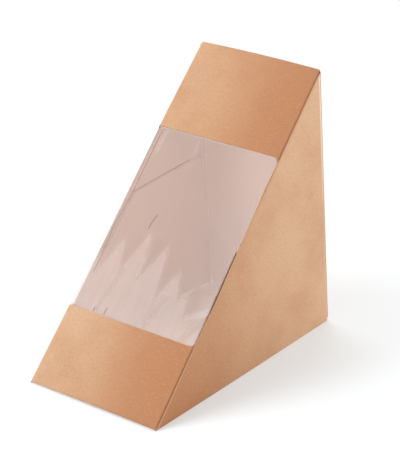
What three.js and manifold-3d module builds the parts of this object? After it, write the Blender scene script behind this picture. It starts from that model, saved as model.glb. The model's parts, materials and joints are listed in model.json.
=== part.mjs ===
// A takeaway sandwich wedge of brown board, with a clear film window in its sloping front.
//
// Millimetres, +Z up. The wedge stands on its base, with its origin under the middle of the box.
// X runs across it. The sloping front rises from the front edge of the base, on the -Y side, to the
// ridge above the back edge, on the +Y side. The back panel hangs from the ridge as a lid.

import * as THREE from "three";
import { ConvexGeometry } from "three/addons/geometries/ConvexGeometry.js";
import { mergeVertices } from "three/addons/utils/BufferGeometryUtils.js";
import Module from "manifold-3d";

// Outside of the box, to the sharp corners of its side view. The front fold's rounding takes the last
// millimetre of the depth, and the ridge's crease a little of the height, so 123 mm is left of both.
const height = 123.3;
const depth = 124;
const frontWidth = 73.2;
const backWidth = 69.4;
const ridgeWidth = 67.4;

// Board and its folds: the radius is that of a fold's outer face
const boardThickness = 0.4;
const foldRadius = 0.7;
const foldFacets = 4;

// Window cut-out, measured up the slope from the front edge: it runs round both front folds
const windowLow = 39.4;
const windowHigh = 130.2;
const windowCornerRadius = 5;
const windowWrap = 1.6;

// Film: its border is glued above and below the window, and its wrap inside the side panels
const filmThickness = 0.1;
const filmBorder = 7;
const filmWrap = 7;
const glueLine = 0.1;

// Glue flaps: they rise from the base inside the side panels
const flapHeight = 67;
const flapFrontClearance = 3;
const flapBackClearance = 4;
const flapCornerRadius = 3;
const rawEdgeGap = 0.25;

// Lid and its tuck flap, which goes in over the base
const lidClearance = 0.3;
const tuckLength = 14;
const tuckCornerRadius = 6;
const tuckSideClearance = 1;

// How far a cutting shape runs past what it cuts
const overrun = 20;

// Directions on the sloping front, with y counted from the front edge
const slopeLength = Math.hypot(depth, height);
const acrossBox = new THREE.Vector3(1, 0, 0);
const upSlope = new THREE.Vector3(0, depth, height).divideScalar(slopeLength);
const slopeNormal = new THREE.Vector3(0, -height, depth).divideScalar(slopeLength);

// Places that several pieces share
const sideBackEdge = depth - boardThickness - lidClearance;
const lidBottom = boardThickness + lidClearance;
const filmInset = boardThickness + glueLine;
const flapInset = filmInset + filmThickness + glueLine;
const ridgeAngle = Math.atan2(depth, height);
const ridgeMitre = new THREE.Vector2(-Math.sin(ridgeAngle / 2), -Math.cos(ridgeAngle / 2));
const mitreSetBack = lidClearance / 2 / Math.sin(ridgeAngle / 2);
const frontAngle = Math.atan2(height, depth);
const frontTip = foldRadius / Math.tan(frontAngle / 2) - foldRadius;

const wasm = await Module();
wasm.setup();

// Closed geometry into a solid that can be joined and cut
function toSolid(geometry) {
  geometry.deleteAttribute("normal");
  geometry.deleteAttribute("uv");
  const merged = mergeVertices(geometry, 1e-5);
  const vertProperties = new Float32Array(merged.attributes.position.array);
  const triVerts = new Uint32Array(merged.index.array);
  return new wasm.Manifold(new wasm.Mesh({ numProp: 3, vertProperties, triVerts }));
}

// Finished solid back into geometry
function toGeometry(solid) {
  const mesh = solid.getMesh();
  const geometry = new THREE.BufferGeometry();
  geometry.setAttribute("position", new THREE.BufferAttribute(mesh.vertProperties, 3));
  geometry.setIndex(new THREE.BufferAttribute(mesh.triVerts, 1));
  geometry.computeVertexNormals();
  return geometry;
}

// Half of the box's outside width at a place on its side panels, which are flat and lean in
const leanBack = (backWidth - frontWidth) / 2 / depth;
const leanUp = (ridgeWidth - backWidth) / 2 / height;

function halfWidth(y, z) {
  return frontWidth / 2 + leanBack * y + leanUp * z;
}

function sideNormal(side) {
  return new THREE.Vector3(side, -leanBack, -leanUp).normalize();
}

// Arc of points round a fold, between the outward normals of the two faces that meet at a corner. An
// inset past the fold's centre leaves a sharp corner.
function foldArc(corner, normalA, normalB, inset) {
  const bisector = normalA.clone().add(normalB).divideScalar(1 + normalA.dot(normalB));
  const centreDepth = Math.max(foldRadius, inset);
  const centre = corner.clone().addScaledVector(bisector, -centreDepth);
  if (inset >= foldRadius) return [centre];
  const points = [];
  for (let step = 0; step <= foldFacets; step++) {
    const direction = normalA.clone().lerp(normalB, step / foldFacets).normalize();
    points.push(centre.clone().addScaledVector(direction, centreDepth - inset));
  }
  return points;
}

// Block inside the front and the side panels' outer faces, drawn in by an inset. Its two front folds
// are rounded, and it runs on below, behind and above the box.
function sleeveBlock(inset) {
  const points = [];
  for (const side of [-1, 1]) {
    const normal = sideNormal(side);
    for (const along of [-overrun, slopeLength + overrun]) {
      const corner = upSlope.clone().multiplyScalar(along);
      corner.x = side * halfWidth(corner.y, corner.z);
      points.push(...foldArc(corner, slopeNormal, normal, inset));
    }
    const rear = new THREE.Vector3(0, depth + overrun, -overrun);
    rear.x = side * halfWidth(rear.y, rear.z);
    points.push(rear.addScaledVector(normal, -inset));
  }
  return toSolid(new ConvexGeometry(points));
}

// Flat outline through its corners, each given as x, y and the radius of its rounding
function outline(corners) {
  const shape = new THREE.Shape();
  corners.forEach(([x, y, radius], index) => {
    if (!radius) {
      if (index === 0) shape.moveTo(x, y);
      else shape.lineTo(x, y);
      return;
    }
    const corner = new THREE.Vector2(x, y);
    const before = corners.at(index - 1);
    const after = corners[(index + 1) % corners.length];
    const toBefore = new THREE.Vector2(before[0], before[1]).sub(corner).normalize();
    const toAfter = new THREE.Vector2(after[0], after[1]).sub(corner).normalize();
    const halfAngle = Math.acos(toBefore.dot(toAfter)) / 2;
    const inward = toBefore.clone().add(toAfter).normalize();
    const centre = corner.clone().addScaledVector(inward, radius / Math.sin(halfAngle));
    const setBack = radius / Math.tan(halfAngle);
    const start = corner.clone().addScaledVector(toBefore, setBack).sub(centre);
    const end = corner.clone().addScaledVector(toAfter, setBack).sub(centre);
    const clockwise = toAfter.cross(toBefore) < 0;
    shape.absarc(centre.x, centre.y, radius, start.angle(), end.angle(), clockwise);
  });
  return shape;
}

// Outline carried along its own normal, then laid on three directions of the box
function prism(shape, from, to, right, up, along) {
  const options = { depth: to - from, bevelEnabled: false, curveSegments: foldFacets };
  const geometry = new THREE.ExtrudeGeometry(shape, options);
  geometry.translate(0, 0, from);
  geometry.applyMatrix4(new THREE.Matrix4().makeBasis(right, up, along));
  return toSolid(geometry);
}

// Side view of the box, with y to the right and z up, carried right across it
function crossPrism(corners) {
  const reach = frontWidth / 2 + overrun;
  const right = new THREE.Vector3(0, 1, 0);
  const up = new THREE.Vector3(0, 0, 1);
  return prism(outline(corners), -reach, reach, right, up, acrossBox);
}

// Outline on the sloping front, with x across and y up the slope, between two depths below it
function slopePrism(corners, deepest, highest) {
  return prism(outline(corners), -deepest, highest, acrossBox, upSlope, slopeNormal);
}

// Corner where two faces meet, drawn in by an inset from both
function insetCorner(corner, directionA, directionB, inset) {
  const spread = Math.abs(directionA.cross(directionB));
  const shift = directionA.clone().add(directionB).multiplyScalar(inset / spread);
  return corner.clone().add(shift);
}

// Side view of the carton: the base's back edge runs on under the lid, and the front's top is mitred
function cartonSideView() {
  const apex = new THREE.Vector2(depth, height);
  const towardsFront = new THREE.Vector2(-upSlope.y, -upSlope.z);
  const frontTop = apex.clone().addScaledVector(towardsFront, mitreSetBack);
  const mitreRun = (frontTop.x - sideBackEdge) / -ridgeMitre.x;
  const mitreEnd = frontTop.clone().addScaledVector(ridgeMitre, mitreRun);
  return [
    [0, 0, foldRadius],
    [depth, 0],
    [depth, boardThickness],
    [sideBackEdge, boardThickness],
    [mitreEnd.x, mitreEnd.y],
    [frontTop.x, frontTop.y],
  ];
}

// Side view of the hollow: it keeps the board's thickness to the front and the base, and is open behind
function hollowSideView() {
  const alongBase = new THREE.Vector2(1, 0);
  const alongSlope = new THREE.Vector2(upSlope.y, upSlope.z);
  const corner = insetCorner(new THREE.Vector2(0, 0), alongBase, alongSlope, boardThickness);
  const run = (depth + overrun - corner.x) / alongSlope.x;
  const top = corner.clone().addScaledVector(alongSlope, run);
  return [
    [corner.x, corner.y, foldRadius - boardThickness],
    [depth + overrun, corner.y],
    [top.x, top.y],
  ];
}

// Cut-out as it lies in the flat sheet, running past both front folds
function windowCutter() {
  const low = upSlope.clone().multiplyScalar(windowLow);
  const high = upSlope.clone().multiplyScalar(windowHigh);
  const halfLow = halfWidth(low.y, low.z) + windowWrap;
  const halfHigh = halfWidth(high.y, high.z) + windowWrap;
  return slopePrism([
    [-halfLow, windowLow, windowCornerRadius],
    [halfLow, windowLow, windowCornerRadius],
    [halfHigh, windowHigh, windowCornerRadius],
    [-halfHigh, windowHigh, windowCornerRadius],
  ], windowWrap, windowWrap);
}

// Both glue flaps: a slanted front edge keeps clear of the front fold
function glueFlaps() {
  const slopeRise = height / depth;
  const frontShift = flapFrontClearance * slopeLength / height;
  const bottom = boardThickness / 2;
  const back = depth - flapBackClearance;
  const sheets = sleeveBlock(flapInset).subtract(sleeveBlock(flapInset + boardThickness));
  return sheets.intersect(crossPrism([
    [bottom / slopeRise + frontShift, bottom],
    [back, bottom],
    [back, flapHeight, flapCornerRadius],
    [flapHeight / slopeRise + frontShift, flapHeight, flapCornerRadius],
  ]));
}

// Slit that parts the base from the raw lower edges of the side panels
function rawEdgeSlits() {
  const strips = sleeveBlock(boardThickness).subtract(sleeveBlock(boardThickness + rawEdgeGap));
  const start = 3 * foldRadius;
  return strips.intersect(crossPrism([
    [start, -overrun],
    [depth + overrun, -overrun],
    [depth + overrun, 2 * boardThickness],
    [start, 2 * boardThickness],
  ]));
}

function cartonSolid() {
  const outside = sleeveBlock(0).intersect(crossPrism(cartonSideView()));
  const hollow = sleeveBlock(boardThickness).intersect(crossPrism(hollowSideView()));
  return outside.subtract(hollow).subtract(windowCutter()).add(glueFlaps()).subtract(rawEdgeSlits());
}

// Lid: a back panel mitred under the ridge, and a tuck flap that slopes up just enough for its tip to
// pass over the base as the lid swings
const tuckTip = height - Math.sqrt((height - lidBottom) ** 2 - tuckLength ** 2);

function lidSideView() {
  const lowerCorner = new THREE.Vector2(depth, lidBottom);
  const tip = new THREE.Vector2(depth - tuckLength, tuckTip);
  const upPanel = new THREE.Vector2(0, 1);
  const alongTuck = tip.clone().sub(lowerCorner).normalize();
  const innerCorner = insetCorner(lowerCorner, upPanel, alongTuck, boardThickness);
  const panelTop = height - mitreSetBack;
  const innerTop = panelTop + ridgeMitre.y * boardThickness / -ridgeMitre.x;
  const aboveTuck = new THREE.Vector2(alongTuck.y, -alongTuck.x);
  const tipTop = tip.clone().addScaledVector(aboveTuck, boardThickness);
  return [
    [lowerCorner.x, lowerCorner.y, foldRadius],
    [depth, panelTop],
    [depth - boardThickness, innerTop],
    [innerCorner.x, innerCorner.y, foldRadius - boardThickness],
    [tipTop.x, tipTop.y],
    [tip.x, tip.y],
  ];
}

// What is cut away on both sides of the tuck flap, below the panel's raw lower edges
function tuckShoulders() {
  const half = halfWidth(depth, 0) - flapInset - boardThickness - tuckSideClearance;
  const wide = half + overrun;
  const back = depth + overrun;
  const tip = depth - tuckLength;
  const shoulder = tuckTip + 2 * boardThickness;
  const backward = new THREE.Vector3(0, 1, 0);
  const upward = new THREE.Vector3(0, 0, 1);
  const tuckOutline = outline([
    [-half, tip, tuckCornerRadius],
    [half, tip, tuckCornerRadius],
    [half, back + overrun],
    [-half, back + overrun],
  ]);
  const aroundOutline = outline([
    [-wide, tip - overrun],
    [wide, tip - overrun],
    [wide, back],
    [-wide, back],
  ]);
  const around = prism(aroundOutline, -overrun, shoulder, acrossBox, backward, upward);
  return around.subtract(prism(tuckOutline, -2 * overrun, overrun, acrossBox, backward, upward));
}

function lidSolid() {
  const sheet = sleeveBlock(0).intersect(crossPrism(lidSideView()));
  return sheet.subtract(tuckShoulders());
}

// Film: it lies behind the window, bends with both front folds and ends inside the side panels
function filmSolid() {
  const reach = frontWidth / 2 + overrun;
  const low = windowLow - filmBorder;
  const high = windowHigh + filmBorder;
  const sheet = sleeveBlock(filmInset).subtract(sleeveBlock(filmInset + filmThickness));
  return sheet.intersect(slopePrism([
    [-reach, low],
    [reach, low],
    [reach, high],
    [-reach, high],
  ], filmWrap, overrun));
}

// Colours and finishes
const brownBoard = new THREE.MeshStandardMaterial({ color: "#d0a077", roughness: 0.85, metalness: 0 });
const clearFilm = new THREE.MeshStandardMaterial({
  color: "#eee4de",
  roughness: 0.15,
  metalness: 0,
  transparent: true,
  opacity: 0.3,
});

function namedMesh(name, solid, material) {
  const mesh = new THREE.Mesh(toGeometry(solid), material);
  mesh.name = name;
  return mesh;
}

const sandwichBox = new THREE.Group();
sandwichBox.add(namedMesh("carton", cartonSolid(), brownBoard));
sandwichBox.add(namedMesh("back_lid", lidSolid(), brownBoard));
sandwichBox.add(namedMesh("window_film", filmSolid(), clearFilm));
sandwichBox.position.y = -(frontTip + depth) / 2;

export default sandwichBox;
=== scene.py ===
"""Windowed sandwich box: a wedge folded from brown board, with a clear film window in its sloping front.

Lengths are in metres in the frame's own axes. The board is worked out as one flat sheet: "across" is
the distance from the middle line round the front folds, "along" the distance up the slope from the
sharp front edge, and place_on_sleeve folds such a point into the wedge.
"""

import json
import math

import bmesh
import bpy
import numpy as np
from bpy.props import FloatProperty, FloatVectorProperty, PointerProperty
from mathutils import Matrix, Vector


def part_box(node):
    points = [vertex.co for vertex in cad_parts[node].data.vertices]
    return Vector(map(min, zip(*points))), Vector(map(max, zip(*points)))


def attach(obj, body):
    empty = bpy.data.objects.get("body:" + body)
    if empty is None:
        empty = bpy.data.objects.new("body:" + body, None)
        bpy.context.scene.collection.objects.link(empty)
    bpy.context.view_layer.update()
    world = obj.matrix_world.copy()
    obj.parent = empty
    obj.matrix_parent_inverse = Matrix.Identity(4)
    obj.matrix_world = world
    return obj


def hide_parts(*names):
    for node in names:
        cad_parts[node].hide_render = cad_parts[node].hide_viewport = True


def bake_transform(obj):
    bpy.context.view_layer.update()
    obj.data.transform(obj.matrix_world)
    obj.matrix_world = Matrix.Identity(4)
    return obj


bl_info = {
    "name": "Windowed sandwich box",
    "version": (1, 0, 0),
    "blender": (4, 5, 0),
    "location": "View3D > Sidebar > Sandwich box",
    "description": "Builds a wedge-shaped carton with a clear window, and its stage",
    "category": "Add Mesh",
}

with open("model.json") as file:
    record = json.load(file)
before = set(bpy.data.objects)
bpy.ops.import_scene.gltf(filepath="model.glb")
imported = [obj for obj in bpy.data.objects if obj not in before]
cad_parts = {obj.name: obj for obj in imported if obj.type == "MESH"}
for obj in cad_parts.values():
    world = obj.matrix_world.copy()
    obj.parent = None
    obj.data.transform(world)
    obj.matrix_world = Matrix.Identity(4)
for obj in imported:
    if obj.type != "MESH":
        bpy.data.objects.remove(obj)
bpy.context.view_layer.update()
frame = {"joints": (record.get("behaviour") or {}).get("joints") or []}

LID_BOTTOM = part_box("back_lid")[0][2]
HINGE_Y, HINGE_Z = frame["joints"][0]["pos_m"][1:]

# Points closer than this are merged.
WELD = 0.00001
# Fold distance that marks a strip as lying in deep shade.
SHADED = 1.0
# How far the ridge's bending strip reaches down the front panel and the lid.
RIDGE_STRIP = 0.0021
# Width and step of the close columns beside a front fold, and the number of wider ones before them.
NEAR_FOLD = 0.0055
NEAR_STEP = 0.00025
WIDE_COLUMNS = 22
# Height up the slope at which the window's right edge steps in, where the knife restarted.
KNIFE_RESTART = 0.084
# How much deeper under the board's face the glue flaps lie than its thickness.
FLAP_CLEARANCE = 0.0003
# Fold distance given to points that have no front fold near them.
NO_FOLD = -0.01
# Rows round the front fold and round the ridge crease, columns down a side panel, across half the base
# and up a glue flap.
TURN_ROWS = 13
SIDE_COLUMNS = 41
BASE_COLUMNS = 16
FLAP_COLUMNS = 29
# Sheet lengths in the film's material are in millimetres.
MILLIMETRES = 1000
WHITE = (1, 1, 1, 1)


class CartonSizes(bpy.types.PropertyGroup):
    """Sizes of the folded sheet."""

    depth: FloatProperty(name="Depth", description="Sharp front edge to the back", default=0.124,
                         unit="LENGTH")
    half_width: FloatProperty(name="Half width", description="Half the width at the front edge",
                              default=0.03658, unit="LENGTH")
    taper_back: FloatProperty(name="Taper to the back", description="Half width lost per metre of depth",
                              default=0.015323)
    taper_up: FloatProperty(name="Taper to the ridge", description="Half width lost per metre of height",
                            default=0.00811)
    board: FloatProperty(name="Board", description="Thickness of the board", default=0.0004,
                         unit="LENGTH")
    fold_radius: FloatProperty(name="Fold radius", description="Outer radius of the front folds",
                               default=0.0007, unit="LENGTH")
    crease_radius: FloatProperty(name="Ridge radius", description="Outer radius of the ridge crease",
                                 default=0.00026, unit="LENGTH")
    side_depth: FloatProperty(name="Side depth", description="Sharp front edge to the side panels' back",
                              default=0.1235, unit="LENGTH")
    ridge_bow: FloatProperty(name="Ridge bow", description="How much lower the ridge's ends are",
                             default=0.00053, unit="LENGTH")
    front_arch: FloatProperty(name="Front arch", description="Rise of the front fold's middle",
                              default=0.0003, unit="LENGTH")
    side_bulge: FloatProperty(name="Side bulge", description="How far the side panels belly out",
                              default=0.0003, unit="LENGTH")
    flap_height: FloatProperty(name="Glue flap", description="Height of the glue flaps",
                               default=0.067, unit="LENGTH")
    tuck_length: FloatProperty(name="Tuck flap", description="Length of the lid's tuck flap",
                               default=0.014, unit="LENGTH")


class WindowSizes(bpy.types.PropertyGroup):
    """Sizes of the window cut-out and its film."""

    low: FloatProperty(name="Lower edge", description="Up the slope from the front edge",
                       default=0.0394, unit="LENGTH")
    high: FloatProperty(name="Upper edge", description="Up the slope from the front edge",
                        default=0.1302, unit="LENGTH")
    corner: FloatProperty(name="Corner radius", description="Radius of the window's corners",
                          default=0.0038, unit="LENGTH")
    film_low: FloatProperty(name="Film from", description="Film's lower edge up the slope",
                            default=0.0324, unit="LENGTH")
    film_high: FloatProperty(name="Film to", description="Film's upper edge up the slope",
                             default=0.1372, unit="LENGTH")
    film_wrap: FloatProperty(name="Film wrap", description="Film glued beyond each fold",
                             default=0.007, unit="LENGTH")
    film_inset: FloatProperty(name="Film inset", description="Film's depth under the board's face",
                              default=0.00038, unit="LENGTH")
    film_thickness: FloatProperty(name="Film", description="Thickness of the film",
                                  default=0.00006, unit="LENGTH")
    ripple: FloatProperty(name="Ripple", description="Height of the film's ripples above its lower edge",
                          default=0.00006, unit="LENGTH")


class FinishColours(bpy.types.PropertyGroup):
    """Colours of the board and the film."""

    board: FloatVectorProperty(name="Board", description="Main tone of the brown board",
                               default=(0.63, 0.355, 0.19), subtype="COLOR", min=0, max=1)
    board_deep: FloatVectorProperty(name="Board, deep", description="Deeper tone of the board",
                                    default=(0.49, 0.20, 0.08), subtype="COLOR", min=0, max=1)
    board_pale: FloatVectorProperty(name="Board, pale", description="Paler tone of the board",
                                    default=(0.74, 0.49, 0.31), subtype="COLOR", min=0, max=1)
    # The crease tone paints the board's dark flecks, and also the painted shade in the front folds and the
    # film's dark scratches and painted shadow lines.
    crease: FloatVectorProperty(name="Crease", description="Board where it is pressed into a fold",
                                default=(0.26, 0.10, 0.045), subtype="COLOR", min=0, max=1)
    # Painted light: this pale tone paints a glow along the side panels' back edges.
    scored: FloatVectorProperty(name="Scored", description="Board where it is scored thin",
                                default=(0.98, 0.80, 0.64), subtype="COLOR", min=0, max=1)
    # Painted shade: this near-black tone paints the shadow gaps along the window's side edges and the shade
    # over the glue flaps' tops.
    edge_shade: FloatVectorProperty(name="Cut edge", description="Board's raw cut edge",
                                  default=(0.06, 0.022, 0.015), subtype="COLOR", min=0, max=1)
    film: FloatVectorProperty(name="Film haze", description="Haze of the clear film",
                              default=(0.96, 0.73, 0.65), subtype="COLOR", min=0, max=1)
    # The streak tone also colours the film's painted highlights and painted reflection.
    film_streak: FloatVectorProperty(name="Film streak", description="Pale streaks in the film",
                                     default=(0.80, 0.79, 0.755), subtype="COLOR", min=0, max=1)


def sizes():
    """The folded sheet's sizes, as the panel has them."""
    return bpy.context.scene.carton_sizes


def window():
    """The window's sizes, as the panel has them."""
    return bpy.context.scene.window_sizes


def colours():
    """The finishes' colours, as the panel has them."""
    return bpy.context.scene.finish_colours


# Folding the flat sheet


def slope():
    """Cosine and sine of the front panel's slope, from the hinge's height over the depth."""
    length = math.hypot(sizes().depth, HINGE_Z)
    return sizes().depth / length, HINGE_Z / length


def half_width(back, up):
    """Half the box's width at a distance back from the sharp front edge and a height: a plain taper."""
    box = sizes()
    return box.half_width - box.taper_back * back - box.taper_up * up


def flat_half(along):
    """Half the front panel's flat part at a distance up the slope: the half width less the fold."""
    cosine, sine = slope()
    return half_width(along * cosine, along * sine) - sizes().fold_radius


def place_on_sleeve(across, along, inset=0.0):
    """Folds sheet points into the wedge. Up to the fold a point keeps its place across; round the fold
    it turns a quarter circle; past it the rest of the distance goes square into the side panel."""
    box = sizes()
    cosine, sine = slope()
    radius = box.fold_radius
    arc = radius * math.pi / 2
    flat = flat_half(along)
    over = np.abs(across) - flat
    angle = np.clip(over / radius, 0, math.pi / 2)
    past = np.maximum(over - arc, 0)
    deep = np.where(over > 0, radius - (radius - inset) * np.cos(angle), inset) + past
    back = along * cosine + deep * sine
    up = along * sine - deep * cosine
    turned = flat + (radius - inset) * np.sin(angle)
    side = half_width(back, up) - inset
    out = np.where(over < 0, np.abs(across), np.where(past > 0, side, turned))
    return np.stack([np.sign(across) * out, back + HINGE_Y - box.depth, up], -1)


def settle(points):
    """Gives the folded box its slight slackness: the ridge's ends drop as the square of the distance
    from the middle, the front fold arches up, and the side panels belly out between their edges."""
    box = sizes()
    x, y, z = points[..., 0], points[..., 1], points[..., 2]
    back = y - HINGE_Y + box.depth
    share = np.clip(np.abs(x) / np.maximum(half_width(back, z), 1e-4), 0, 1)
    near_ridge = np.clip((z - 0.7 * HINGE_Z) / (0.3 * HINGE_Z), 0, 1) ** 2
    near_front = np.clip(1 - back / (0.25 * box.depth), 0, 1) ** 2
    low = np.clip(1 - z / (0.25 * box.depth), 0, 1)
    drop = box.ridge_bow * share**2 * near_ridge
    lift = box.front_arch * (1 - share**2) * near_front * low
    reach = np.clip(back / box.depth, 0, 1)
    rise = np.clip(z / np.maximum(back * HINGE_Z / box.depth, 1e-4), 0, 1)
    belly = 4 * reach * (1 - reach) * (1 - rise**2) * np.clip((share - 0.9) / 0.1, 0, 1)
    return np.stack([x + np.sign(x) * box.side_bulge * belly, y, z + lift - drop], -1)


def left_cut(along):
    """How far the window's left edge lies beyond the fold's middle: a straight taper, wider below. It
    takes an array or a shader's value."""
    return 0.0009 + 0.021 * (0.119 - along)


def cut_beyond_fold(across, along):
    """How far the window's side edge lies beyond the fold's middle. The right edge waves as a sine with
    one soft bulge, and below the knife's restart it swells out as part of a longer sine."""
    margin = 0.0003
    wave = 0.00022 * np.sin((along - KNIFE_RESTART - 0.004) / 0.0058)
    bulge = margin * np.exp(-((along - KNIFE_RESTART - 0.0035) / 0.003) ** 2)
    upper = margin + wave + bulge
    below = np.clip((KNIFE_RESTART - along) / 0.052, 0, 1)
    lower = margin + 0.00005 + 0.00085 * np.sin(below * 2.2)
    right = np.where(along > KNIFE_RESTART, upper, lower)
    return np.where(across > 0, right, left_cut(along))


def window_distance(across, along):
    """Signed distance from the window's outline on the flat sheet, and the direction away from it. The
    outline is a rectangle with round corners, tighter ones at the left: the distance is to its straight
    sides, or to the corner's circle where both sides are near."""
    opening = window()
    left_share = 0.45
    radius = np.where(across > 0, opening.corner, left_share * opening.corner)
    fold_middle = flat_half(along) + sizes().fold_radius * math.pi / 4
    sideways = np.abs(across) - fold_middle - cut_beyond_fold(across, along) + radius
    middle = (opening.low + opening.high) / 2
    half = (opening.high - opening.low) / 2
    upright = np.abs(along - middle) - half + radius
    corner = np.hypot(np.maximum(sideways, 0), np.maximum(upright, 0))
    flat_side = np.minimum(np.maximum(sideways, upright), 0)
    pull = np.stack([np.maximum(sideways, 0), np.maximum(upright, 0)], -1)
    straight = np.stack([sideways > upright, sideways <= upright], -1).astype(float)
    inside = (sideways <= 0) & (upright <= 0)
    pull = np.where(inside[..., None], straight, pull)
    pull = pull / np.maximum(np.linalg.norm(pull, axis=-1, keepdims=True), 1e-12)
    pull[..., 0] *= np.sign(across)
    pull[..., 1] *= np.sign(along - middle)
    return corner + flat_side - radius, pull


# Meshes


def grid_quads(rows, columns, keep=None):
    """Corner numbers of a grid's cells, row by row: all of them, or those that keep marks."""
    numbers = np.arange(rows * columns).reshape(rows, columns)
    quads = np.stack([numbers[:-1, :-1], numbers[:-1, 1:], numbers[1:, 1:], numbers[1:, :-1]], -1)
    quads = quads.reshape(-1, 4)
    return quads if keep is None else quads[keep.ravel()]


def make_piece(name, patches):
    """A mesh object from patches, each a set of points, quads, sheet coordinates and fold distances.
    Loose points go, and points that meet are merged, so that the sheet is one surface."""
    points = np.concatenate([patch["points"].reshape(-1, 3) for patch in patches])
    sheets = np.concatenate([patch["sheet"].reshape(-1, 2) for patch in patches])
    folds = np.concatenate([patch["fold"].ravel() for patch in patches])
    firsts = np.cumsum([0] + [patch["fold"].size for patch in patches])
    quads = np.concatenate([patch["quads"] + first for patch, first in zip(patches, firsts)])
    used, places = np.unique(quads, return_inverse=True)
    quads = places.reshape(quads.shape)
    mesh = bpy.data.meshes.new(name)
    mesh.from_pydata(points[used].tolist(), [], quads.tolist())
    layer = mesh.uv_layers.new(name="sheet")
    layer.data.foreach_set("uv", sheets[used][quads.ravel()].astype(np.float32).ravel())
    fold = mesh.attributes.new("fold_distance", "FLOAT", "POINT")
    fold.data.foreach_set("value", folds[used].astype(np.float32))
    mesh.polygons.foreach_set("use_smooth", np.ones(len(quads), bool))
    weld(mesh)
    sharpen_border(mesh)
    piece = bpy.data.objects.new(name, mesh)
    bpy.context.scene.collection.objects.link(piece)
    return piece


def weld(mesh):
    """Merges points that meet where two patches join."""
    work = bmesh.new()
    work.from_mesh(mesh)
    bmesh.ops.remove_doubles(work, verts=work.verts, dist=WELD)
    work.to_mesh(mesh)
    work.free()


def sharpen_border(mesh):
    """Marks the edges that only one face uses as sharp, so that the sheet's face stays even there."""
    loops = np.empty(len(mesh.loops), np.int32)
    mesh.loops.foreach_get("edge_index", loops)
    border = np.bincount(loops, minlength=len(mesh.edges)) == 1
    sharp = mesh.attributes.get("sharp_edge") or mesh.attributes.new("sharp_edge", "BOOLEAN", "EDGE")
    sharp.data.foreach_set("value", border)
    mesh.update()


def thicken(piece, thickness, raw_edge=False):
    """Gives a sheet its thickness inwards, with its raw edges in the second material if it has one."""
    solid = piece.modifiers.new("thickness", "SOLIDIFY")
    solid.thickness = thickness
    solid.offset = -1
    solid.use_even_offset = False
    solid.use_quality_normals = True
    solid.material_offset_rim = int(raw_edge)


def paint_board(piece):
    """The board's material on a piece's faces, and its raw edge's material in the second slot."""
    piece.data.materials.append(finish_named("fibrous_board", board_material))
    piece.data.materials.append(finish_named("board_cut_edge", cut_edge_material))


def spaced(low, high, step):
    """Even numbers from low to high, no further apart than the step."""
    return np.linspace(low, high, max(2, int(math.ceil((high - low) / step)) + 1))


def sleeve_rows():
    """Heights up the slope for the sleeve's rows, close together at the window's corners, and the
    height at which the front fold's curve ends."""
    box = sizes()
    opening = window()
    top = math.hypot(box.depth, HINGE_Z) - RIDGE_STRIP
    tangent = box.fold_radius / math.tan(math.atan2(HINGE_Z, box.depth) / 2)
    cosine, sine = slope()
    lowest = box.fold_radius * cosine / sine
    corner = 1.3 * opening.corner
    margin = 0.001
    corner_step = 0.00028
    rows = np.concatenate([
        spaced(lowest, tangent, 0.0004),
        spaced(tangent, opening.low - margin, 0.0015),
        spaced(opening.low - margin, opening.low + corner, corner_step),
        spaced(opening.low + corner, opening.high - corner, 0.0009),
        spaced(opening.high - corner, opening.high + margin, corner_step),
        spaced(opening.high + margin, top, 0.0014),
        [opening.low, opening.high]])
    return np.unique(rows), tangent


def sleeve_columns(rows):
    """Sheet coordinates for every row: shares of the flat front, closer near the folds, then the fold's
    arc, then the side panel out to its edge with steps that grow as a power of their number."""
    box = sizes()
    cosine, sine = slope()
    arc = box.fold_radius * math.pi / 2
    flat = flat_half(rows)[:, None]
    near = flat - spaced(0, NEAR_FOLD, NEAR_STEP)[::-1][None, 1:]
    middle = (flat - NEAR_FOLD) * np.linspace(0, 1, WIDE_COLUMNS)[None, :]
    turn = flat + arc * np.array([0.2, 0.4, 0.6, 0.8, 1.0])[None, :]
    height = rows * sine - box.fold_radius * cosine
    reach = (box.side_depth - height * cosine / sine) * sine
    least = 0.00002
    reach = np.maximum(reach - box.fold_radius, least)[:, None]
    steps = np.linspace(0, 1, SIDE_COLUMNS)[1:] ** 1.7
    climb = reach * steps[None, :] * cosine / sine
    side = flat_half(rows[:, None] + climb) + arc + reach * steps[None, :]
    half = np.concatenate([middle, near, turn, side], 1)
    rise = np.concatenate([np.zeros((len(rows), middle.shape[1] + near.shape[1] + turn.shape[1])),
                           climb], 1)
    across = np.concatenate([-half[:, :0:-1], half], 1)
    along = rows[:, None] + np.concatenate([rise[:, :0:-1], rise], 1)
    return across, along, reach


def sleeve_patch():
    """Front panel and both side panels as one sheet: a grid over the flat sheet, without the window's
    cells, whose points beside the window are moved on to its outline before folding."""
    box = sizes()
    rows, tangent = sleeve_rows()
    across, along, reach = sleeve_columns(rows)
    arc = box.fold_radius * math.pi / 2
    middle_across = (across[:-1, :-1] + across[1:, 1:]) / 2
    middle_along = (along[:-1, :-1] + along[1:, 1:]) / 2
    gone = window_distance(middle_across, middle_along)[0] < 0
    on_front = np.abs(middle_across) < flat_half(middle_along) + arc
    gone |= on_front & ((rows[:-1] + rows[1:])[:, None] / 2 < tangent)
    least_side = 0.0002
    gone |= ~on_front & (np.minimum(reach[:-1], reach[1:]) < least_side)
    beside = np.zeros(across.shape, int)
    height, width = gone.shape
    for down in (0, 1):
        for right in (0, 1):
            beside[down:down + height, right:right + width] += gone
    distance, pull = window_distance(across, along)
    nearest = 0.0016
    touching = (beside > 0) & (beside < 4) & (np.abs(distance) < nearest)
    across = across - np.where(touching, distance * pull[..., 0], 0)
    along = along - np.where(touching, distance * pull[..., 1], 0)
    points = settle(place_on_sleeve(across, along))
    fold = np.abs(across) - flat_half(along) - arc / 2
    return {"points": points, "quads": grid_quads(*across.shape, ~gone),
            "sheet": np.stack([across, along], -1), "fold": fold}


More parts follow.
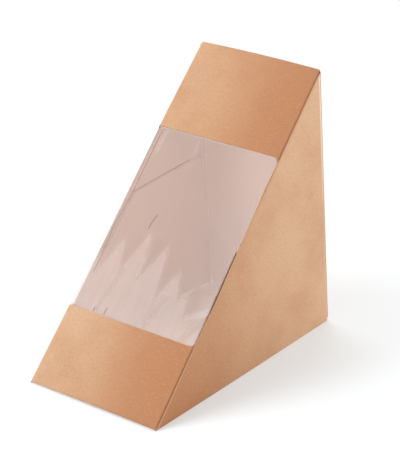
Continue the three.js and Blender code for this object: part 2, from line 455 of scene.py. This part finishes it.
def front_fold_patch():
    """Front fold, from the slope round to the base: the sleeve's section turned about the fold's
    centre line, so that its two ends are quarter spheres."""
    box = sizes()
    cosine, sine = slope()
    radius = box.fold_radius
    angle = math.atan2(HINGE_Z, box.depth)
    tangent = radius / math.tan(angle / 2)
    turn = np.linspace(0, math.pi - angle, TURN_ROWS)[:, None]
    flat = flat_half(tangent)
    near = flat - spaced(0, NEAR_FOLD, NEAR_STEP)[::-1][1:]
    half = np.concatenate([(flat - NEAR_FOLD) * np.linspace(0, 1, WIDE_COLUMNS), near])
    bend = np.array([0.2, 0.4, 0.6, 0.8, 0.97]) * math.pi / 2
    out = np.concatenate([half, flat + radius * np.sin(bend)])
    share = np.concatenate([np.ones(len(half)), np.cos(bend)])
    out = np.concatenate([-out[:0:-1], out])[None, :]
    share = np.concatenate([share[:0:-1], share])[None, :]
    facing = angle + math.pi / 2 + turn
    y = HINGE_Y - box.depth + tangent + radius * share * np.cos(facing)
    z = radius + radius * share * np.sin(facing)
    points = settle(np.stack(np.broadcast_arrays(out, y, z), -1))
    along = np.broadcast_to(tangent - radius * turn, y.shape)
    across = np.broadcast_to(out, y.shape)
    return {"points": points, "quads": grid_quads(*y.shape)[:, ::-1],
            "sheet": np.stack([across, along], -1), "fold": np.full(y.shape, NO_FOLD)}


def base_patch():
    """Base with its two glue flaps: straight rows across, which turn up a quarter circle at each side
    and rise to the flap's outline, a slope in front, a nearly level top and a short back edge."""
    box = sizes()
    radius = box.fold_radius
    angle = math.atan2(HINGE_Z, box.depth)
    tangent = radius / math.tan(angle / 2)
    rear_gap = 0.004
    front_gap = 0.0042
    flap_end = box.depth - rear_gap
    back = np.unique(np.concatenate([spaced(tangent, box.depth - 0.0001, 0.0022),
                                     flap_end - spaced(0, rear_gap, 0.0005)]))
    inset = box.board + FLAP_CLEARANCE
    flat = (half_width(back, 0 * back) - inset - radius)[:, None]
    top_climb = 0.0018 / 0.048
    top = box.flap_height - 0.0004 + top_climb * (back - 0.07)
    front = (back - tangent - front_gap) * math.tan(angle)
    rear = flap_end - back
    corner = 0.003
    rounded = top - corner + np.sqrt(np.clip(corner**2 - (corner - rear) ** 2, 0, None))
    height = np.minimum(np.minimum(front, top), np.where(rear < corner, rounded, top))
    height = np.where(rear < -1e-6, 0, height)[:, None]
    shaded_from = 0.986
    plain_share = np.linspace(0, shaded_from - 0.002, FLAP_COLUMNS)[1:]
    share = np.append(plain_share, [shaded_from, 1.0])[None, :]
    least_rise = 0.00001
    rise = np.maximum(height - radius, least_rise) * share
    bend = np.array([0.25, 0.5, 0.75, 1.0]) * math.pi / 2
    floor = flat * np.linspace(0, 1, BASE_COLUMNS)
    out = np.concatenate([floor, flat + radius * np.sin(bend)[None, :],
                          half_width(back[:, None], rise) - inset], 1)
    up = np.concatenate([0 * floor, 0 * flat + radius * (1 - np.cos(bend))[None, :], radius + rise], 1)
    run = np.concatenate([floor, flat + radius * bend[None, :], flat + radius * math.pi / 2 + rise], 1)
    out = np.concatenate([-out[:, :0:-1], out], 1)
    up = np.concatenate([up[:, :0:-1], up], 1)
    run = np.concatenate([-run[:, :0:-1], run], 1)
    y = np.broadcast_to((back + HINGE_Y - box.depth)[:, None], out.shape)
    least_height = radius + 0.0003
    on_flap = np.abs(run[:-1, :-1] + run[1:, 1:]) / 2 > flat[:-1] + radius * 1.4
    gone = on_flap & (np.minimum(height[:-1], height[1:]) < least_height)
    points = settle(np.stack([out, y, up], -1))
    sheet = np.stack([run, -np.broadcast_to(back[:, None], run.shape)], -1)
    fold = 0.0011 - np.abs(np.abs(run) - flat - radius * 0.8)
    # The glue flaps' top strips are marked for painted shade.
    fold[:, :2] = SHADED
    fold[:, -2:] = SHADED
    return {"points": points, "quads": grid_quads(*out.shape, ~gone)[:, ::-1],
            "sheet": sheet, "fold": fold}


def lid_patch():
    """Lid and tuck flap: straight rows across, carried down the back, round a quarter circle and
    forward over the base; the flap's rows narrow at its tip by the corner's circle."""
    box = sizes()
    radius = box.fold_radius
    bottom = LID_BOTTOM
    tuck_climb = 0.045
    down = spaced(bottom + radius, HINGE_Z - RIDGE_STRIP, 0.0016)[::-1]
    turn = np.linspace(0, math.pi / 2, 8)[1:]
    tip = spaced(0, box.tuck_length - radius, 0.0006)[1:]
    y = np.concatenate([0 * down, radius * (np.cos(turn) - 1), -radius - tip]) + HINGE_Y
    z = np.concatenate([down, bottom + radius * (1 - np.sin(turn)), bottom + tuck_climb * tip])
    run = np.concatenate([down, bottom - radius * turn, bottom - radius * math.pi / 2 - tip])
    half = half_width(y - HINGE_Y + box.depth, z)
    shoulder = 0.0011
    corner = 0.006
    left = np.clip(corner - (tip[-1] - tip), 0, corner)
    narrow = shoulder + corner - np.sqrt(np.clip(corner**2 - left**2, 0, None))
    half = half - np.concatenate([0 * down, shoulder * turn / turn[-1], narrow])
    out = np.linspace(-1, 1, 45)[None, :] * half[:, None]
    y, z, run = (np.broadcast_to(v[:, None], out.shape) for v in (y, z, run))
    points = settle(np.stack([out, y, z], -1))
    return {"points": points, "quads": grid_quads(*out.shape), "sheet": np.stack([out, run], -1),
            "fold": np.full(out.shape, NO_FOLD)}


def crease_patch():
    """Ridge crease: a strip of the front panel, the crease's arc and a strip of the lid, carried across,
    narrower at the ridge by a bell curve of the height. Also the strip's front and lid ends."""
    box = sizes()
    cosine, sine = slope()
    radius = box.crease_radius
    angle = math.atan2(HINGE_Z, box.depth)
    opening = math.pi / 2 - angle
    tangent = radius / math.tan(opening / 2)
    length = math.hypot(box.depth, HINGE_Z)
    climb = np.linspace(length - RIDGE_STRIP, length - tangent, 5)
    turn = np.linspace(0, math.pi - opening, TURN_ROWS)[1:]
    fall = np.linspace(HINGE_Z - tangent, HINGE_Z - RIDGE_STRIP, 5)[1:]
    facing = angle + math.pi / 2 - turn
    y = np.concatenate([climb * cosine - box.depth, -radius + radius * np.cos(facing), 0 * fall]) + HINGE_Y
    z = np.concatenate([climb * sine, HINGE_Z - tangent + radius * np.sin(facing), fall])
    half = half_width(y - HINGE_Y + box.depth, z)
    worn_corner = 0.0006
    half = half - worn_corner * np.exp(-((z - z.max()) / 0.0007) ** 2)
    out = np.linspace(-1, 1, 61)[None, :] * half[:, None]
    y, z = (np.broadcast_to(v[:, None], out.shape) for v in (y, z))
    run = np.broadcast_to((length + np.linspace(-0.002, 0.002, len(out)))[:, None], out.shape)
    points = settle(np.stack([out, y, z], -1))
    return {"points": points, "quads": grid_quads(*out.shape), "sheet": np.stack([out, run], -1),
            "fold": np.full(out.shape, NO_FOLD)}, y[0, 0], z[0, 0], z[-1, 0]


def film_patch():
    """Film: one sheet under the window, folded with the sleeve. Above its lower edge it ripples, as
    a sine across whose height falls away up the slope."""
    opening = window()
    rows = spaced(opening.film_low, opening.film_high, 0.0012)
    radius = sizes().fold_radius
    arc = radius * math.pi / 2
    flat = flat_half(rows)[:, None]
    across_share = np.linspace(0, 1, 60)[None, :]
    bend_share = np.array([0.25, 0.5, 0.75, 1.0])[None, :]
    wrap_share = np.linspace(0, 1, 8)[None, 1:]
    half = np.concatenate([flat * across_share, flat + arc * bend_share,
                           flat + arc + opening.film_wrap * wrap_share], 1)
    across = np.concatenate([-half[:, :0:-1], half], 1)
    along = np.broadcast_to(rows[:, None], across.shape)
    points = place_on_sleeve(across, along, opening.film_inset)
    fade_length = 0.035
    glued_margin = 0.004
    up = np.clip((along - opening.low) / fade_length, 0, None)
    height = opening.ripple * np.exp(-(up**1.5)) * np.clip(up * 7, 0, 1)
    free = np.clip((flat - np.abs(across)) / glued_margin, 0, 1)
    wave = np.sin(across / 0.00195 + 2.2 * np.sin(across / 0.009)) * height * free
    cosine, sine = slope()
    points[..., 1] -= sine * (wave + height * free)
    points[..., 2] += cosine * (wave + height * free)
    return {"points": settle(points), "quads": grid_quads(*across.shape),
            "sheet": np.stack([across, along], -1),
            "fold": np.abs(across) - flat - arc / 2}


# Materials


class Value:
    """A shader socket that takes part in plain sums, each of which adds its Math node."""

    def __init__(self, shader, socket):
        self.shader = shader
        self.socket = socket

    def __add__(self, other):
        return self.shader.maths("ADD", self, other)

    def __sub__(self, other):
        return self.shader.maths("SUBTRACT", self, other)

    def __mul__(self, other):
        return self.shader.maths("MULTIPLY", self, other)

    def __truediv__(self, other):
        return self.shader.maths("DIVIDE", self, other)

    def __radd__(self, other):
        return self.shader.maths("ADD", other, self)

    def __rsub__(self, other):
        return self.shader.maths("SUBTRACT", other, self)

    def __rmul__(self, other):
        return self.shader.maths("MULTIPLY", other, self)

    def __rtruediv__(self, other):
        return self.shader.maths("DIVIDE", other, self)

    def __abs__(self):
        return self.shader.maths("ABSOLUTE", self)


class Shader:
    """The node tree of a material or a world, built by one method for every kind of node."""

    def __init__(self, owner, output="OutputMaterial"):
        self.owner = owner
        owner.use_nodes = True
        self.tree = owner.node_tree
        self.tree.nodes.clear()
        self.output = self.node(output)

    def node(self, kind, settings=None, inputs=None):
        """Adds a node: its settings first, then its sockets' values or links."""
        node = self.tree.nodes.new("ShaderNode" + kind)
        for key, value in (settings or {}).items():
            setattr(node, key, value)
        for key, value in (inputs or {}).items():
            socket = node.inputs[key]
            if isinstance(value, Value):
                self.tree.links.new(value.socket, socket)
            elif isinstance(value, bpy.types.NodeSocket):
                self.tree.links.new(value, socket)
            else:
                socket.default_value = value
        return node

    def maths(self, operation, *values):
        """A Math node on values and numbers."""
        node = self.node("Math", {"operation": operation}, dict(enumerate(values)))
        return Value(self, node.outputs[0])

    def smooth(self, value, low, high):
        """0 below low, 1 above high, and a smooth step between."""
        node = self.node("MapRange", {"interpolation_type": "SMOOTHSTEP"},
                         {"Value": value, "From Min": low, "From Max": high})
        return Value(self, node.outputs["Result"])

    def right_half(self, x):
        """0 on the box's left half and 1 on its right."""
        return self.smooth(x, -0.001, 0.001)

    def noise(self, vector, scale, detail=3.0, roughness=0.5, distortion=0.0):
        """Noise between 0 and 1, about 0.5 on average."""
        node = self.node("TexNoise", {}, {"Vector": vector, "Scale": scale, "Detail": detail,
                                          "Roughness": roughness, "Distortion": distortion})
        return Value(self, node.outputs["Fac"])

    def mix(self, factor, first, second):
        """A colour mixed from two, each a colour or a link."""
        full = [(*c, 1) if isinstance(c, (tuple, list)) and len(c) == 3 else c for c in (first, second)]
        node = self.node("Mix", {"data_type": "RGBA"}, {"Factor": factor})
        for socket, colour in zip((node.inputs[6], node.inputs[7]), full):
            if isinstance(colour, bpy.types.NodeSocket):
                self.tree.links.new(colour, socket)
            else:
                socket.default_value = colour
        return node.outputs[2]

    def object_place(self, scale=(1, 1, 1)):
        """The point's own place in metres, times a scale."""
        place = self.node("TexCoord").outputs["Object"]
        return self.node("Mapping", {}, {"Vector": place, "Scale": scale}).outputs[0]

    def sheet_place(self, scale=(1, 1, 1)):
        """The point's place on the flat sheet in metres, times a scale."""
        place = self.node("UVMap", {"uv_map": "sheet"}).outputs[0]
        return self.node("Mapping", {}, {"Vector": place, "Scale": scale}).outputs[0]

    def strongest(self, values):
        """The largest of several values, taken one after another."""
        largest = values[0]
        for value in values[1:]:
            largest = self.maths("MAXIMUM", largest, value)
        return largest

    def attribute(self, name):
        """A number that the mesh carries at its points."""
        return Value(self, self.node("Attribute", {"attribute_name": name}).outputs["Fac"])

    def mix_surfaces(self, factor, first, second):
        """A Mix Shader between two nodes' surfaces."""
        return self.node("MixShader", {}, {0: factor, 1: first.outputs[0], 2: second.outputs[0]})

    def parts(self, vector):
        """A vector's three numbers."""
        node = self.node("SeparateXYZ", {}, {0: vector})
        return [Value(self, output) for output in node.outputs]

    def rays(self, *kinds):
        """1 for light rays of any of these kinds."""
        path = self.node("LightPath")
        return self.strongest([Value(self, path.outputs[kind]) for kind in kinds])

    def finish(self, surface):
        """Links a node's surface to the output, and gives back the finished material or world."""
        self.tree.links.new(surface.outputs[0], self.output.inputs["Surface"])
        return self.owner


def board_material():
    """Brown board: slow clouds of tone, a fine mottle, short fibres along and across the sheet, pale and
    dark flecks, and painted light and shade: a painted sheen on the left of the front panel, painted shade
    deepening towards the right-hand fold, side panels painted paler towards the back, a dark line of
    painted shade in each front fold and beside the window's left edge, painted shade on the glue flaps'
    top strips, and a painted glow along the side panels' back edges."""
    tone = colours()
    shader = Shader(bpy.data.materials.new("fibrous_board"))
    sheet = shader.sheet_place()
    x, y, z = shader.parts(shader.object_place())
    clouds = shader.noise(sheet, 38.0, 3.0, 0.55)
    mottle = shader.noise(sheet, 900.0, 4.0, 0.6)
    fibres = shader.noise(shader.sheet_place((420, 2600, 1)), 1.0, 3.0, 0.65, 0.4)
    threads = shader.noise(shader.sheet_place((3100, 520, 1)), 1.0, 2.0, 0.6, 0.8)
    flecks = shader.noise(shader.sheet_place((1900, 1300, 1)), 1.0, 1.0, 0.5)
    away = shader.attribute("fold_distance")
    side = shader.smooth(away, 0.0003, 0.0025)
    back = shader.smooth(y + z * 0.35, -0.055, 0.075)
    # Painted light and shade: the front panel is painted paler to the left and lower down, as a sheen from
    # the lamp there, and deeper towards its right-hand fold; the side panels are painted deeper towards the
    # front and paler towards the back and lower down.
    deep = shader.smooth(x, -0.036, 0.036) * (1 - side) + (1 - back) * side
    pale = shader.smooth(0.018 - x, 0.0, 0.050) * (1 - side) * (0.9 - 4.5 * z)
    pale = pale + back * side * (1.05 - 3.2 * z)
    base = shader.mix(deep * 0.92, tuple(tone.board), tuple(tone.board_deep))
    base = shader.mix(pale * 0.7, base, tuple(tone.board_pale))
    base = shader.mix(shader.smooth(clouds, 0.35, 0.75) * 0.40, base, tuple(tone.board_deep))
    base = shader.mix(shader.smooth(mottle, 0.40, 0.70) * 0.28, base, tuple(tone.board_deep))
    base = shader.mix(shader.smooth(fibres, 0.50, 0.74) * 0.28, base, tuple(tone.board_pale))
    base = shader.mix(shader.smooth(threads, 0.54, 0.78) * 0.26, base, tuple(tone.board_pale))
    base = shader.mix(shader.smooth(1 - flecks, 0.66, 0.76) * 0.35, base, tuple(tone.crease))
    along = shader.parts(sheet)[1]
    right = shader.right_half(x)
    opening = shader.smooth(along, KNIFE_RESTART - 0.0005, KNIFE_RESTART + 0.0005)
    opening = opening * (1 - shader.smooth(along, 0.1285, 0.1300))
    # Painted shade: a dark line along each front fold, left out on the right-hand fold from the knife's
    # restart up to the window's top, and faded low on the right.
    pressed = (1 - shader.smooth(abs(away - 0.0003), 0.00012, 0.00042)) * (1 - opening * right)
    low_right_fade = right * shader.smooth(along, 0.0385, 0.0395) * (1 - shader.smooth(along, 0.048, 0.060))
    pressed = pressed * (1 - low_right_fade * 0.7)
    # Painted shade: a dark line just beyond the window's left edge, for the shadow of its cut edge, and on
    # the glue flaps' top strips, which lie in shade.
    left_edge_shade = 1 - shader.smooth(abs(away - 0.0003 - left_cut(along)), 0.0002, 0.0006)
    left_edge_shade = left_edge_shade * shader.smooth(along, 0.041, 0.044) * (1 - shader.smooth(along, 0.127, 0.129))
    flap_top = shader.smooth(away, 0.5 * SHADED, 0.9 * SHADED)
    shaded = shader.strongest([flap_top, left_edge_shade * (1 - right)])
    # A pale line beside each fold.
    pale_fold_line = 1 - shader.smooth(abs(away - 0.0011), 0.0002, 0.0007)
    # Painted light: a pale glow along the side panels' back edges, stronger higher up and on the left
    # panel.
    back_edge_glow = shader.smooth(y, 0.0600, 0.0604) * side
    back_edge_glow = back_edge_glow * (0.15 + 0.5 * shader.smooth(z, 0.055, 0.085) + 0.2 * (1 - right))
    base = shader.mix(back_edge_glow, base, tuple(tone.scored))
    base = shader.mix(pale_fold_line * 0.30, base, tuple(tone.board_pale))
    # Painted shade in the front folds, in the crease tone.
    base = shader.mix(pressed * 0.68, base, tuple(tone.crease))
    # Painted shade in the near-black edge tone.
    base = shader.mix(shaded * 0.5, base, tuple(tone.edge_shade))
    relief = mottle * 0.5 + fibres * 0.8 + threads * 0.6
    bump = shader.node("Bump", {}, {"Strength": 0.35, "Distance": 0.00006, "Height": relief})
    rough = 0.66 + 0.16 * mottle
    surface = shader.node("BsdfPrincipled", {}, {
        "Base Color": base, "Roughness": rough, "Normal": bump.outputs[0],
        "Specular IOR Level": 0.45, "Sheen Weight": 0.05, "Sheen Roughness": 0.4})
    return shader.finish(surface)


def cut_edge_material():
    """Raw cut edge of the board: its plies as fine streaks, and dark painted shade where the window is cut
    along a fold, for the shadow gap between the board and the film.
    """
    tone = colours()
    shader = Shader(bpy.data.materials.new("board_cut_edge"))
    plies = shader.noise(shader.object_place((900, 2600, 2600)), 1.0, 3.0, 0.6)
    x, y, z = shader.parts(shader.object_place())
    # Painted shade: the window's side edges are dark for the shadow gap under the film, except on the right
    # from the knife's restart up, fainter low on the right, and never on the side panels' back edges.
    outer = shader.smooth(abs(x), 0.0310, 0.0332)
    right = shader.right_half(x)
    restarted = shader.smooth(z, 0.0585, 0.0598) * right
    low_right_fade = (1 - shader.smooth(z, 0.034, 0.042)) * right
    dark = outer * (1 - restarted) * (1 - low_right_fade * 0.7) * (1 - shader.smooth(y, 0.0590, 0.0600))
    base = shader.mix(shader.smooth(plies, 0.35, 0.7) * 0.5, tuple(tone.board), tuple(tone.board_pale))
    base = shader.mix(dark * (0.85 + 0.15 * plies), base, tuple(tone.edge_shade))
    bump = shader.node("Bump", {}, {"Strength": 0.3, "Distance": 0.00004, "Height": plies})
    surface = shader.node("BsdfPrincipled", {}, {
        "Base Color": base, "Roughness": 0.8 + 0.1 * plies, "Normal": bump.outputs[0]})
    return shader.finish(surface)


# Tips of the pale tongues in the film, partly haze and partly painted reflection: across and along in
# millimetres, how wide they open downwards, and how far they lean to the left on the way down.
TONGUES = ((-31.8, 72.0, 0.30, 0.10), (-23.6, 81.0, 0.31, 0.02), (-11.2, 88.0, 0.27, 0.06),
           (0.8, 83.5, 0.30, 0.10), (12.6, 73.5, 0.36, 0.06), (22.5, 65.0, 0.52, 0.30),
           (35.0, 55.0, 1.1, 1.25))

# Marks in the film, in millimetres: from, to, half width, softness, how pale (or how clear, below zero).
MARKS = (((-28.9, 128.5), (-29.3, 118.5), 0.2, 1.5, 0.05), ((-9.9, 128.3), (-8.9, 115.0), 0.1, 1.6, 0.035),
         ((17.6, 58.5), (29.0, 68.0), 0.1, 0.8, 0.04), ((29.0, 68.0), (35.4, 70.4), 0.1, 0.7, 0.02),
         ((27.2, 39.5), (36.4, 53.8), 0.7, 1.3, -0.03), ((26.0, 50.7), (35.9, 56.1), 0.8, 1.4, 0.05),
         ((-21.0, 41.0), (-17.0, 62.0), 0.3, 1.6, -0.03), ((7.0, 41.0), (10.5, 56.0), 0.3, 1.6, -0.025))

# Small dark scratches, in millimetres: from, to, half width, strength.
SCRATCHES = (((-14.1, 83.0), (-14.2, 85.0), 0.12, 1.0), ((-14.2, 85.0), (-13.0, 90.0), 0.12, 1.0),
             ((-16.0, 40.2), (-15.8, 43.3), 0.12, 1.0), ((-22.3, 40.2), (-22.2, 41.8), 0.12, 1.0))

# Long fine painted shadow lines, given the same way: a slanting one of the glue flap's top edge that fades,
# and one beside the left fold of the window's left cut edge.
SHADOW_LINES = (((-31.7, 96.9), (-9.9, 118.8), 0.10, 0.9), ((-9.9, 118.8), (-6.1, 122.5), 0.10, 0.35),
           ((-31.7, 127.8), (-31.6, 97.0), 0.10, 0.9), ((-31.6, 97.0), (-32.6, 80.0), 0.10, 0.9),
           ((-32.6, 80.0), (-31.8, 57.0), 0.10, 0.9))

# How far the scratches and painted shadow lines fade out beyond their half width, in millimetres.
LINE_SOFTNESS = 0.25


def stroke(shader, across, along, start, end):
    """Distance from a straight stroke: the point's nearest place on it is its share along, held to 0..1."""
    run = end[0] - start[0]
    rise = end[1] - start[1]
    beyond = across - start[0]
    above = along - start[1]
    share = (beyond * run + above * rise) / (run**2 + rise**2)
    share = shader.maths("MAXIMUM", shader.maths("MINIMUM", share, 1.0), 0.0)
    off_across = beyond - share * run
    off_along = above - share * rise
    return shader.maths("SQRT", off_across * off_across + off_along * off_along)


def film_material():
    """Clear film: see-through, with an even haze, and above its glued lower edge a row of pale tongues
    that rise to points, each streaked lengthwise, partly haze and partly painted reflection. Painted light
    also: painted highlights along the right-hand fold and the window's top edge, paler haze painted over
    the lower right where the inside behind lies in shade, and painted shadow lines of the glue flap's top
    edge and the window's left cut edge. Gloss comes from its smooth surface. Light that falls through it,
    or is scattered back through it, meets nearly no haze."""
    tone = colours()
    shader = Shader(bpy.data.materials.new("hazy_film"))
    across, along = shader.parts(shader.sheet_place((MILLIMETRES, MILLIMETRES, 1)))[:2]
    away = shader.attribute("fold_distance")
    waver = shader.noise(shader.sheet_place((160, 60, 1)), 1.0, 2.0, 0.5) - 0.5
    # Pale tongues, partly haze and partly painted reflection.
    tongues = []
    for tip_across, tip_along, opening, lean in TONGUES:
        below = tip_along - along
        inside = below * opening - abs(across + waver * 3.0 - tip_across + below * lean)
        tongues.append(shader.smooth(inside, -0.3, 2.4) * shader.smooth(below, 0.0, 10.0))
    wide = shader.strongest(tongues)
    streaks = shader.noise(shader.sheet_place((260, 16, 1)), 1.0, 2.5, 0.55)
    fine = shader.smooth(streaks, 0.34, 0.68)
    low = 1 - shader.smooth(along, 40.0, 50.0)
    glow = shader.smooth(across + along * 0.35, 46.0, 78.0)
    # Painted light: paler haze over the lower right, where the inside behind the film lies in shade.
    shade = shader.smooth(across, 24.0, 34.0) * (1 - shader.smooth(along, 52.0, 72.0))
    pale = wide * (0.06 + 0.02 * fine) + low * 0.02 + glow * 0.07 + shade * (1 - wide) * 0.08
    for start, end, half, soft, strength in MARKS:
        near = 1 - shader.smooth(stroke(shader, across, along, start, end), half, half + soft)
        pale = pale + near * strength
    # Painted highlights: a pale line where the film bends round the right-hand fold from the knife's
    # restart up, and a fainter one along the window's top edge.
    restart = MILLIMETRES * KNIFE_RESTART
    cleft = shader.smooth(along, restart, restart + 2.0) * shader.smooth(across, 20.0, 22.0)
    fold_highlight = (1 - shader.smooth(abs(away - 0.0002), 0.0004, 0.0008)) * cleft
    upper = 1 - shader.smooth(abs(along - 129.9), 0.15, 0.5)
    pale = pale + shader.strongest([fold_highlight, upper * 0.3]) * 0.45
    # Dark scratches, and painted shadow lines, both in the crease tone.
    lines = []
    for start, end, half, strength in SCRATCHES + SHADOW_LINES:
        near = 1 - shader.smooth(stroke(shader, across, along, start, end), half, half + LINE_SOFTNESS)
        lines.append(near * strength)
    scratches_and_shadow_lines = shader.strongest(lines)
    wrapped = shader.smooth(away, 0.0003, 0.0010)
    even_haze = 0.235
    haze = (pale + even_haze) * (1 - wrapped * 0.75) + scratches_and_shadow_lines * 0.3
    streak = shader.maths("MINIMUM", pale * 3.2, 1.0)
    colour = shader.mix(streak, tuple(tone.film), tuple(tone.film_streak))
    colour = shader.mix(scratches_and_shadow_lines, colour, tuple(tone.crease))
    haze = haze * (1 - shader.rays("Is Shadow Ray", "Is Diffuse Ray") * 0.9)
    dints = shader.noise(shader.sheet_place((55, 30, 1)), 1.0, 2.0, 0.5)
    bump = shader.node("Bump", {}, {"Strength": 0.05, "Distance": 0.0004, "Height": dints + fine * low})
    solid = shader.node("BsdfPrincipled", {}, {
        "Base Color": colour, "Roughness": 0.26 + 0.06 * dints, "Normal": bump.outputs[0],
        "Specular IOR Level": 0.5})
    clear = shader.node("BsdfTransparent", {}, {"Color": WHITE})
    return shader.finish(shader.mix_surfaces(haze, clear, solid))


def stage_material():
    """Pale floor: the camera sees it partly as an even white, fully so far out, and it keeps the soft
    shadow."""
    shader = Shader(bpy.data.materials.new("pale_floor"))
    plain = shader.node("BsdfDiffuse", {}, {"Color": (0.84, 0.88, 0.92, 1)})
    bright = shader.node("BsdfDiffuse", {}, {"Color": (0.93, 0.98, 1.0, 1)})
    white = shader.node("Emission", {}, {"Color": WHITE, "Strength": 1.0})
    x, y = shader.parts(shader.object_place())[:2]
    far = shader.smooth(shader.maths("SQRT", x * x + y * y), 0.085, 0.30)
    near_white = 0.34
    seen = shader.mix_surfaces(near_white + (1 - near_white) * far, bright, white)
    return shader.finish(shader.mix_surfaces(shader.rays("Is Camera Ray"), plain, seen))


def studio_world():
    """Even light from all round, and plain white where the camera sees it."""
    shader = Shader(bpy.data.worlds.new("studio"), "OutputWorld")
    even = shader.node("Background", {}, {"Color": WHITE, "Strength": 0.5})
    white = shader.node("Background", {}, {"Color": WHITE, "Strength": 1.0})
    return shader.finish(shader.mix_surfaces(shader.rays("Is Camera Ray"), even, white))


def finish_named(name, maker):
    """A material by its name, made the first time it is asked for."""
    return bpy.data.materials.get(name) or maker()


# Operators


class BuildCarton(bpy.types.Operator):
    """Front panel, side panels, base and glue flaps: the folded sheet without its lid."""

    bl_idname = "sandwich_box.carton"
    bl_label = "Build the carton"

    def execute(self, context):
        piece = make_piece("carton_board", [sleeve_patch(), front_fold_patch(), base_patch()])
        paint_board(piece)
        thicken(piece, sizes().board, raw_edge=True)
        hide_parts("carton")
        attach(piece, "carton")
        return {"FINISHED"}


class BuildLid(bpy.types.Operator):
    """Back lid with its tuck flap."""

    bl_idname = "sandwich_box.lid"
    bl_label = "Build the lid"

    def execute(self, context):
        piece = make_piece("lid_board", [lid_patch()])
        paint_board(piece)
        thicken(piece, sizes().board, raw_edge=True)
        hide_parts("back_lid")
        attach(piece, "lid")
        return {"FINISHED"}


class BuildCrease(bpy.types.Operator):
    """Ridge crease between the front panel and the lid."""

    bl_idname = "sandwich_box.crease"
    bl_label = "Build the ridge crease"

    def execute(self, context):
        patch, front_y, front_z, lid_z = crease_patch()
        piece = make_piece("ridge_crease", [patch])
        paint_board(piece)
        pressed_share = 0.6
        thicken(piece, sizes().board * pressed_share, raw_edge=True)
        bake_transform(piece)
        return {"FINISHED"}


class BuildFilm(bpy.types.Operator):
    """Clear film behind the window."""

    bl_idname = "sandwich_box.film"
    bl_label = "Build the window film"

    def execute(self, context):
        piece = make_piece("clear_window", [film_patch()])
        piece.data.materials.append(finish_named("hazy_film", film_material))
        thicken(piece, window().film_thickness)
        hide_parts("window_film")
        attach(piece, "carton")
        return {"FINISHED"}


# Camera: its place, its three directions and its lens, found by matching the box's corners.
EYE = (0.55808, -0.62265, 0.44451)
FORWARD = (-0.59863, 0.68391, -0.41702)
RIGHT = (0.76527, 0.64210, -0.04550)
UP = (-0.23665, 0.34637, 0.90776)
LENS = 166.41


def lamp(name, place, target, size, power, colour=(1, 1, 1)):
    """A round soft lamp that faces its target."""
    light = bpy.data.lights.new(name, "AREA")
    light.shape = "DISK"
    light.size = size
    light.energy = power
    light.color = colour
    lamp_object = bpy.data.objects.new(name, light)
    bpy.context.scene.collection.objects.link(lamp_object)
    lamp_object.location = place
    lamp_object.rotation_euler = (Vector(target) - Vector(place)).to_track_quat("-Z", "Y").to_euler()


def lay_floor():
    """A flat square just under the box."""
    reach = 6.0
    level = -0.0002
    corners = [(-reach, -reach, level), (reach, -reach, level), (reach, reach, level),
               (-reach, reach, level)]
    mesh = bpy.data.meshes.new("floor")
    mesh.from_pydata(corners, [], [(0, 1, 2, 3)])
    mesh.materials.append(finish_named("pale_floor", stage_material))
    floor = bpy.data.objects.new("floor", mesh)
    bpy.context.scene.collection.objects.link(floor)


def place_camera():
    """The camera at its place, turned by its three directions."""
    camera = bpy.data.objects.new("camera", bpy.data.cameras.new("camera"))
    bpy.context.scene.collection.objects.link(camera)
    camera.data.lens = LENS
    camera.data.sensor_fit = "AUTO"
    camera.data.sensor_width = 36.0
    turn = Matrix((RIGHT, UP, [-part for part in FORWARD])).transposed()
    camera.matrix_world = Matrix.Translation(EYE) @ turn.to_4x4()
    return camera


class BuildStage(bpy.types.Operator):
    """Floor, lamps, world and camera."""

    bl_idname = "sandwich_box.stage"
    bl_label = "Build the stage"

    def execute(self, context):
        scene = context.scene
        scene.view_settings.view_transform = "Standard"
        lay_floor()
        middle = (0.0, 0.0, 0.06)
        lamp("window_light", (-0.64, -0.55, 0.66), middle, 0.7, 5.2)
        lamp("top_light", (-0.30, 0.30, 1.0), middle, 0.5, 3.5)
        lamp("front_low", (-0.35, -0.80, 0.22), middle, 0.4, 0.9)
        lamp("right_fill", (0.50, 0.44, 0.22), middle, 0.4, 2.1, (1.0, 0.98, 0.96))
        scene.world = studio_world()
        scene.camera = place_camera()
        return {"FINISHED"}


class SandwichBoxPanel(bpy.types.Panel):
    """Lists the box's parts and their sizes."""

    bl_idname = "VIEW3D_PT_sandwich_box"
    bl_label = "Sandwich box"
    bl_space_type = "VIEW_3D"
    bl_region_type = "UI"
    bl_category = "Sandwich box"

    def draw(self, context):
        for operator in (BuildCarton, BuildLid, BuildCrease, BuildFilm, BuildStage):
            self.layout.operator(operator.bl_idname)
        for group in (sizes(), window(), colours()):
            for key in group.__annotations__:
                self.layout.prop(group, key)


CLASSES = (CartonSizes, WindowSizes, FinishColours, BuildCarton, BuildLid, BuildCrease, BuildFilm,
           BuildStage, SandwichBoxPanel)


def register():
    for part in CLASSES:
        bpy.utils.register_class(part)
    bpy.types.Scene.carton_sizes = PointerProperty(type=CartonSizes)
    bpy.types.Scene.window_sizes = PointerProperty(type=WindowSizes)
    bpy.types.Scene.finish_colours = PointerProperty(type=FinishColours)


def unregister():
    del bpy.types.Scene.finish_colours
    del bpy.types.Scene.window_sizes
    del bpy.types.Scene.carton_sizes
    for part in reversed(CLASSES):
        bpy.utils.unregister_class(part)


def main():
    """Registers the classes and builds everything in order."""
    register()
    bpy.ops.sandwich_box.carton()
    bpy.ops.sandwich_box.lid()
    bpy.ops.sandwich_box.crease()
    bpy.ops.sandwich_box.film()
    bpy.ops.sandwich_box.stage()


if __name__ == "__main__":
    main()
